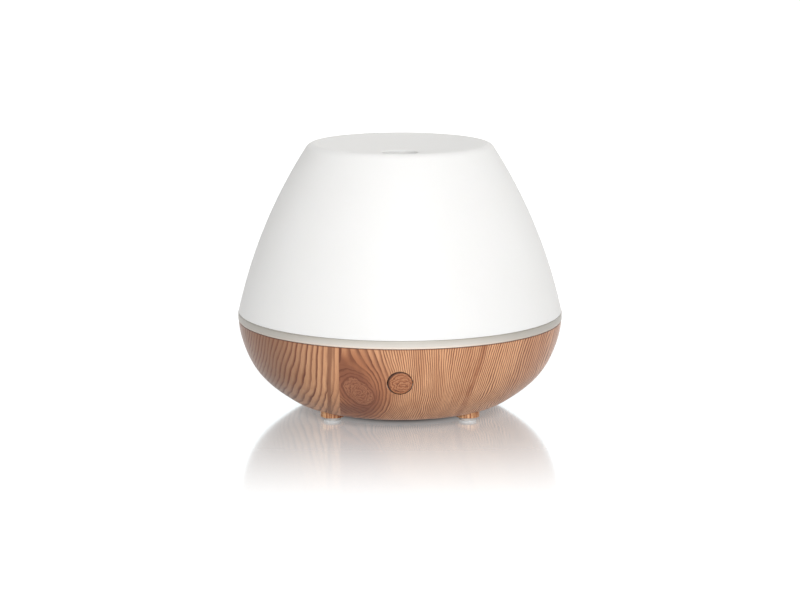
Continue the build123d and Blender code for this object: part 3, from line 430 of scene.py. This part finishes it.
def button_swirl(s, colour):
    """The film is drawn together over the button's edge, so its face is crumpled. Its rim is darkened with
    painted shadow, most at the upper left, as the recess casts it.
    """
    centre = middle("power_button")
    from_x = s.x - centre.x
    from_z = s.z - centre.z
    spread = distance(from_x - SWIRL_X, (from_z - SWIRL_Z) * SWIRL_SQUEEZE)
    swirl = (spread * 0.62 + s.noise(2.2, detail=3.0, seed=81.0) * 2.6).part()
    fold = swirl.band(0.12, 0.45, 0.5, 0.86)
    crease = swirl.band(0.74, 0.88, 0.92, 1.0)
    colour = s.mix(BUTTON_REDDENED, colour, WOOD_RED)
    colour = s.mix(fold * 0.55, colour, WOOD_TAN)
    colour = s.mix(crease * 0.95, colour, WOOD_LINE_AND_RIM_SHADOW)
    # painted shadow round the rim, leaning to the upper left
    rim = distance(from_x, from_z) + (from_z - from_x) * 0.11
    colour = s.mix(rim.rise(*BUTTON_RIM_SHADOW_R), colour, BUTTON_RIM_SHADOW)
    return colour, fold - crease * 0.6


# ---------------------------------------------------------------- frosted plastics of the cover and the tank
SATIN_RELIEF = 0.006


def frosted(name, bright, shade, glow, seed=0.0, rough=0.55):
    """Frosted translucent plastic: nearly even, with a faint cloudiness and a fine satin grain."""
    s = Surface(name, IOR=1.46, Subsurface_Weight=glow, Subsurface_Scale=1.0,
                Subsurface_Radius=(4 * MM, 3.7 * MM, 3.3 * MM))
    clouds = s.noise(26.0, detail=3.0, seed=seed + 1.0)
    specks = s.noise(1.1, seed=seed + 2.0)
    satin = s.noise(0.35, seed=seed + 3.0)
    s.feed("Base Color", s.mix((clouds * 0.7 + specks * 0.3).rise(0.2, 0.8), bright, shade))
    s.feed("Roughness", satin * 0.12 + (rough - 0.06))
    s.relief(satin * 0.7 + specks * 0.3, SATIN_RELIEF)


TANK_TAN = (0.590, 0.556, 0.508)
TANK_SHADE = (0.550, 0.515, 0.465)
# painted shadow: the top of the band, darkest just under the cover's edge
TANK_SHADOW_UNDER_COVER = (0.380, 0.350, 0.300)
# painted shade: the band's tone towards its left and right sides
TANK_SIDES_PAINTED_SHADE = (0.270, 0.250, 0.220)
# painted reflection of the wood: a light pinkish tone at the band's lower edge and below it
TANK_WOOD_REFLECTION = (0.820, 0.680, 0.570)
TANK_SIDE_SHADE_AT = (15.0, 64.0)  # how far to the side it starts to darken and is darkest
BAND_TOP = RIM_Z + 3.6
BAND_BOTTOM = RIM_Z + 0.1


def tank_plastic(name):
    """The tank's smoky frosted plastic. The visible band has painted shade: darker towards the sides, and
    darker at its top as painted shadow under the cover. A painted reflection of the wood lightens its lower
    edge and all of the tank below it.
    """
    s = Surface(name, Specular_IOR_Level=0.9, Subsurface_Weight=0.15, Subsurface_Scale=1.0,
                Subsurface_Radius=(4 * MM, 3.4 * MM, 2.8 * MM))
    satin = s.noise(0.35, seed=3.0)
    clouds = s.noise(18.0, detail=3.0, seed=4.0)
    colour = s.mix(clouds.rise(0.2, 0.8), TANK_TAN, TANK_SHADE)
    # painted shadow under the cover's edge, at the top of the band
    colour = s.mix(s.z.rise(BAND_TOP - 2.2, BAND_TOP - 0.4) * 0.55, colour, TANK_SHADOW_UNDER_COVER)
    # painted reflection of the wood at the band's lower edge and on all of the tank below it
    colour = s.mix(s.z.fall(BAND_BOTTOM + 0.3, BAND_BOTTOM + 1.2) * 0.7, colour, TANK_WOOD_REFLECTION)
    # painted shade: the band darkens towards the left and right
    s.feed("Base Color", s.mix(abs(s.x).rise(*TANK_SIDE_SHADE_AT) * 0.65, colour, TANK_SIDES_PAINTED_SHADE))
    s.feed("Roughness", satin * 0.12 + 0.34)
    s.relief(satin, SATIN_RELIEF)


# ---------------------------------------------------------------- moulded and metal parts
def moulded(name, colour, shade, rough=0.5, metal=0.0, patch=6.0, grain=0.4, depth=0.01, seed=0.0):
    """A moulded, painted or metal part with patches of tone and a fine surface grain."""
    s = Surface(name, Metallic=metal, IOR=1.5)
    patches = s.noise(patch, detail=4.0, seed=seed + 5.0)
    fine = s.noise(grain, seed=seed + 6.0)
    s.feed("Base Color", s.mix((patches * 0.6 + fine * 0.4).rise(0.3, 0.7), colour, shade))
    s.feed("Roughness", (patches * 0.5 + fine * 0.5) * 0.22 + (rough - 0.11))
    s.relief(fine, depth)
    return s


def brushed(name, colour, shade, across, rough=0.3):
    """Metal with fine lines. across is the size of the grain along X, Y and Z."""
    s = Surface(name, Metallic=1.0, IOR=1.5)
    lines = s.noise(across, detail=3.0, seed=7.0)
    stains = s.noise(5.0, detail=4.0, seed=8.0)
    s.feed("Base Color", s.mix((lines * 0.5 + stains * 0.5).rise(0.3, 0.7), colour, shade))
    s.feed("Roughness", (lines * 0.6 + stains * 0.4) * 0.25 + (rough - 0.12))
    s.relief(lines, SATIN_RELIEF)


def circuit_board(name, mask, track, seed):
    """Solder mask over copper: tracks and pads show through as a lighter tone and a low relief."""
    s = Surface(name, IOR=1.5, Coat_Weight=0.4, Coat_Roughness=0.15)
    tracks = s.cells(5.2, seed=seed).fall(0.05, 0.075)
    pads = s.cells(3.4, seed=seed + 3.0, feature="F1").fall(0.12, 0.16)
    copper = tracks.most(pads)
    clouds = s.noise(9.0, detail=3.0, seed=seed)
    shaded = s.mix(clouds.rise(0.3, 0.7), mask, tuple(0.75 * c for c in mask))
    s.feed("Base Color", s.mix(copper, shaded, track))
    s.feed("Roughness", clouds * 0.12 + 0.25)
    s.relief(copper, 0.03)


def winding(name, pitch, colour, shade):
    """Turns of enamelled wire, one above the other, with painted shade in the grooves between the turns."""
    s = Surface(name, Metallic=0.85, IOR=1.5, Coat_Weight=0.6, Coat_Roughness=0.1)
    turn = (s.z / pitch + s.noise(3.0, seed=2.0) * 0.6).part()
    round_wire = 1.0 - abs(turn - 0.5) * 2.0
    # painted shade: the wire is darker between the turns and lighter along each turn's crown
    s.feed("Base Color", s.mix(round_wire.rise(0.0, 0.6), shade, colour))
    s.feed("Roughness", round_wire * -0.15 + 0.4)
    s.relief(round_wire, 0.12)


TIN = (0.62, 0.61, 0.58)
STRIPE_GREY = (0.55, 0.57, 0.60)
CAPACITOR_R = 4.0
CHIP_HALF = 1.95
TRANSISTOR_BOTTOM = 17.0


def tinned(s, mask):
    """Turns the masked places of a part into tin-plated metal."""
    s.paint_over(mask, TIN)
    s.feed("Metallic", mask)


def capacitor_sleeve(name):
    """Shrink sleeve with a pale stripe down one side, under a bare metal top."""
    s = moulded(name, (0.02, 0.03, 0.10), (0.03, 0.04, 0.14), rough=0.3, depth=0.004)
    low, high = low_corner("electrolytic_capacitors"), high_corner("electrolytic_capacitors")
    halfway = (low.y + high.y) / 2
    axis_x = s.y.rise(halfway - 0.1, halfway + 0.1).blend(low.x + CAPACITOR_R, high.x - CAPACITOR_R)
    s.paint_over((s.x - axis_x).rise(0.78 * CAPACITOR_R, 0.80 * CAPACITOR_R), STRIPE_GREY)
    tinned(s, s.z.rise(high.z - 0.28, high.z - 0.22))


def controller_chip(name):
    """Black epoxy with tinned legs at both sides."""
    s = moulded(name, (0.02, 0.02, 0.022), (0.035, 0.035, 0.037), rough=0.55, grain=0.12)
    tinned(s, abs(s.y - middle("controller_chip").y).rise(CHIP_HALF, CHIP_HALF + 0.03))


def drive_transistor(name):
    """Black epoxy with tinned legs below."""
    s = moulded(name, (0.02, 0.02, 0.022), (0.035, 0.035, 0.04), grain=0.15)
    tinned(s, s.z.fall(TRANSISTOR_BOTTOM - 0.05, TRANSISTOR_BOTTOM))


def led_lens(name):
    """A white housing with a clear yellowish dome."""
    s = Surface(name, IOR=1.5, Subsurface_Weight=0.3, Subsurface_Scale=1.0,
                Subsurface_Radius=(MM, 0.8 * MM, 0.5 * MM))
    top = high_corner("leds").z
    haze = s.noise(0.8, detail=3.0, seed=4.0)
    housing = s.mix(haze, (0.80, 0.80, 0.78), (0.70, 0.70, 0.68))
    s.feed("Base Color", s.mix(s.z.rise(top - 1.22, top - 1.15), housing, (0.85, 0.70, 0.25)))
    s.feed("Roughness", haze * 0.15 + 0.15)
    s.relief(haze, 0.01)


# name: bright tone, darker tone, finish
MOULDED = {
    "rubber": ((0.58, 0.56, 0.54), (0.53, 0.51, 0.49), dict(rough=0.6, patch=3.0, grain=0.3, depth=0.005)),
    "silicone": ((0.78, 0.79, 0.78), (0.68, 0.69, 0.68), dict(rough=0.45, depth=0.012)),
    "black_plastic": ((0.018, 0.018, 0.019), (0.034, 0.034, 0.035),
                      dict(rough=0.45, patch=8.0, grain=0.3, depth=0.02)),
    "grey_plastic": ((0.16, 0.17, 0.175), (0.12, 0.125, 0.13), dict(seed=2.0)),
    "ivory_plastic": ((0.72, 0.66, 0.50), (0.62, 0.56, 0.42), dict(rough=0.4, seed=3.0)),
    "plunger_plastic": ((0.42, 0.05, 0.03), (0.30, 0.035, 0.02), dict(rough=0.35)),
    "ferrite": ((0.03, 0.03, 0.032), (0.06, 0.058, 0.056), dict(rough=0.6, grain=0.25, depth=0.03)),
    "ceramic_chip": ((0.35, 0.24, 0.14), (0.06, 0.055, 0.05), dict(rough=0.4, patch=9.0, grain=0.2)),
    "bronze": ((0.50, 0.30, 0.12), (0.34, 0.19, 0.08), dict(rough=0.4, metal=1.0, grain=0.15)),
}
# name: colour, tone of its dust and handling marks, seed
WIRES = {
    "black_wire": ((0.02, 0.02, 0.02), (0.045, 0.045, 0.045), 10.0),
    "white_wire": ((0.74, 0.74, 0.72), (0.62, 0.62, 0.58), 10.0),
    "red_wire": ((0.50, 0.03, 0.02), (0.36, 0.02, 0.015), 8.0),
}
# name: bright tone, darker tone, size of the grain, roughness
BRUSHED = {
    "zinc_screw": ((0.66, 0.67, 0.68), (0.50, 0.50, 0.49), (0.2, 0.2, 1.2), 0.3),
    "piezo_metal": ((0.74, 0.71, 0.64), (0.60, 0.57, 0.50), (0.4, 3.0, 0.4), 0.3),
    "retainer_steel": ((0.60, 0.60, 0.61), (0.48, 0.48, 0.48), (3.0, 0.25, 0.5), 0.3),
    "nickel_pin": ((0.70, 0.68, 0.62), (0.58, 0.56, 0.50), (0.2, 2.0, 0.2), 0.2),
    "aluminium_fin": ((0.72, 0.73, 0.74), (0.58, 0.59, 0.60), (2.5, 2.5, 0.3), 0.3),
    "polished_steel": ((0.78, 0.78, 0.79), (0.66, 0.66, 0.66), (0.2, 0.2, 0.9), 0.18),
}


def make_materials():
    wood("wood_print")
    wood("wood_button", bent=button_swirl)
    frosted("frosted_white", (0.775, 0.772, 0.764), (0.760, 0.756, 0.746), 0.12)
    frosted("milky_white", (0.78, 0.785, 0.78), (0.74, 0.745, 0.74), 0.25, seed=6.0, rough=0.4)
    tank_plastic("frosted_tank")
    circuit_board("circuit_board", (0.015, 0.14, 0.05), (0.05, 0.30, 0.11), 1.0)
    circuit_board("white_board", (0.80, 0.81, 0.79), (0.68, 0.69, 0.64), 5.0)
    winding("copper_wire", 0.42, (0.72, 0.30, 0.12), (0.16, 0.05, 0.02))
    capacitor_sleeve("capacitor_sleeve")
    controller_chip("chip_epoxy")
    drive_transistor("black_epoxy")
    led_lens("led_dome")
    for name, (colour, shade, finish) in MOULDED.items():
        moulded(name, colour, shade, **finish)
    for name, (colour, shade, seed) in WIRES.items():
        moulded(name, colour, shade, rough=0.45, patch=4.0, grain=0.3, depth=0.015, seed=seed)
    for name, (colour, shade, grain, rough) in BRUSHED.items():
        brushed(name, colour, shade, grain, rough)


OWN_FINISH = {"power_button": "wood_button", "controller_chip": "chip_epoxy"}


def dress_nodes():
    """Gives each CAD node the material of its slot in the record, or its own."""
    for part in frame["record"]["subparts"]:
        node = part["node"]
        materials = NODES[node].data.materials
        materials.clear()
        materials.append(MATERIALS[OWN_FINISH.get(node, part["material_slot"])])


# ---------------------------------------------------------------- floor
FLOOR_HALF = 20.0
FLOOR_GREY = 0.3
WHITE = (1.0, 1.0, 1.0, 1.0)
# the sheet's own light, with distances from the object's axis in mm
GLOW_NEAR = 0.85
# painted shadow: the sheet gives no light under the bowl, so a dark contact shadow shows there
GLOW_STARTS = (28.0, 50.0)  # it has none under the bowl
GLOW_FAR = 1.1
GLOW_GROWS = (150.0, 600.0)
# the sheet's polish
POLISH_TINT = (0.87, 0.95, 1.0, 1.0)
POLISH_ROUGH = 0.11
REFLECTION = 0.64
REFLECTION_FADES = (30.0, 203.0)  # in front of the object
REFLECTION_SQUEEZE = 0.447  # and more slowly to its sides
REFLECTION_SIDES = (70.0, 95.0)  # beyond these it has none
REFLECTION_BACK = (0.0, 60.0)
REFLECTION_STARTS = (31.0, 44.0)  # nor under the bowl


def floor_material():
    """White acrylic sheet, lit from below, whose polish fades away from the object. Its glow stops under the
    bowl as painted contact shadow; the sheet's grey there also lies in real shade.
    """
    s = Surface("floor_sheet", Base_Color=(FLOOR_GREY, FLOOR_GREY, FLOOR_GREY, 1.0), Emission_Color=WHITE,
                Roughness=0.5, Specular_IOR_Level=0.0)
    away = distance(s.x, s.y)
    # painted contact shadow: no glow under the bowl
    glow = away.rise(*GLOW_STARTS) * GLOW_NEAR
    s.feed("Emission Strength", glow + away.rise(*GLOW_GROWS) * (GLOW_FAR - GLOW_NEAR))
    polish = s.tree.nodes.new("ShaderNodeBsdfGlossy")
    polish.inputs["Color"].default_value = POLISH_TINT
    polish.inputs["Roughness"].default_value = POLISH_ROUGH
    nearness = distance(s.x * REFLECTION_SQUEEZE, s.y).fall(*REFLECTION_FADES)
    in_front = abs(s.x).fall(*REFLECTION_SIDES) * s.y.fall(*REFLECTION_BACK)
    polished = nearness * in_front * away.rise(*REFLECTION_STARTS) * REFLECTION
    both = s.tree.nodes.new("ShaderNodeMixShader")
    s.tree.links.new(polished.socket, both.inputs[0])
    s.tree.links.new(s.shader.outputs[0], both.inputs[1])
    s.tree.links.new(polish.outputs[0], both.inputs[2])
    s.tree.links.new(both.outputs[0], s.tree.nodes["Material Output"].inputs["Surface"])
    return s.material


def add_floor():
    mesh = bpy.data.meshes.new("floor")
    corners = [(x * FLOOR_HALF, y * FLOOR_HALF, 0.0) for x, y in ((-1, -1), (1, -1), (1, 1), (-1, 1))]
    mesh.from_pydata(corners, [], [(0, 1, 2, 3)])
    mesh.materials.append(floor_material())
    floor = bpy.data.objects.new("floor", mesh)
    bpy.context.scene.collection.objects.link(floor)


# ---------------------------------------------------------------- light and camera
SURROUND_TINT = (1.0, 0.99, 0.965, 1.0)
SURROUND_FRONT = 0.04
SURROUND_LEFT = (0.12, 0.90)  # at the horizon and high up
SURROUND_RIGHT = 0.92
PANEL = 1.3  # a bright panel straight behind, which the floor mirrors

# name: place, aim, width in metres, power in watts
SOFTBOXES = {
    "front_softbox": ((0.14, -1.85, 0.95), (0.0, 0.0, 0.06), 1.1, 35.0),
    "top_softbox": ((0.15, 0.1, 1.7), (0.0, 0.0, 0.05), 1.6, 6.0),
}

CAMERA_PLACE = (0.0, -1.08635, 0.24864)
CAMERA_PITCH = math.radians(79.446)
FOCAL_LENGTH = 114.76
SENSOR_WIDTH = 36.0


def add_surround():
    """A dim surround, dark in front and darker on the left."""
    world = bpy.data.worlds.new("studio")
    world.use_nodes = True
    tree = world.node_tree
    split = tree.nodes.new("ShaderNodeSeparateXYZ")
    direction = tree.nodes.new("ShaderNodeTexCoord")
    tree.links.new(direction.outputs["Generated"], split.inputs[0])
    sideways, away, upward = (Field(tree, socket) for socket in split.outputs)
    left = upward.rise(0.0, 0.7).blend(*SURROUND_LEFT)
    backdrop = sideways.rise(-0.9, 0.9).blend(left, SURROUND_RIGHT)
    surround = away.rise(-0.4, 0.6).blend(SURROUND_FRONT, backdrop)
    panel = away.rise(0.88, 0.93) * upward.fall(0.36, 0.42) * PANEL
    background = tree.nodes["Background"]
    tree.links.new(surround.most(panel).socket, background.inputs["Strength"])
    background.inputs["Color"].default_value = SURROUND_TINT
    bpy.context.scene.world = world


def add_softboxes():
    """One large soft lamp in front of the object and one above it."""
    for name, (place, aim, width, power) in SOFTBOXES.items():
        lamp = bpy.data.lights.new(name, "AREA")
        lamp.shape = "DISK"
        lamp.size = width
        lamp.energy = power
        box = bpy.data.objects.new(name, lamp)
        box.location = place
        box.rotation_euler = (Vector(aim) - Vector(place)).to_track_quat("-Z", "Y").to_euler()
        bpy.context.scene.collection.objects.link(box)


def add_camera():
    """Looks down a little from straight in front."""
    lens = bpy.data.cameras.new("camera")
    lens.sensor_width = SENSOR_WIDTH
    lens.lens = FOCAL_LENGTH
    lens.clip_end = 60.0
    camera = bpy.data.objects.new("camera", lens)
    camera.location = CAMERA_PLACE
    camera.rotation_euler = (CAMERA_PITCH, 0.0, 0.0)
    bpy.context.scene.collection.objects.link(camera)
    bpy.context.scene.camera = camera


make_materials()
dress_nodes()
add_floor()
add_surround()
add_softboxes()
add_camera()
bpy.context.scene.view_settings.view_transform = "Standard"
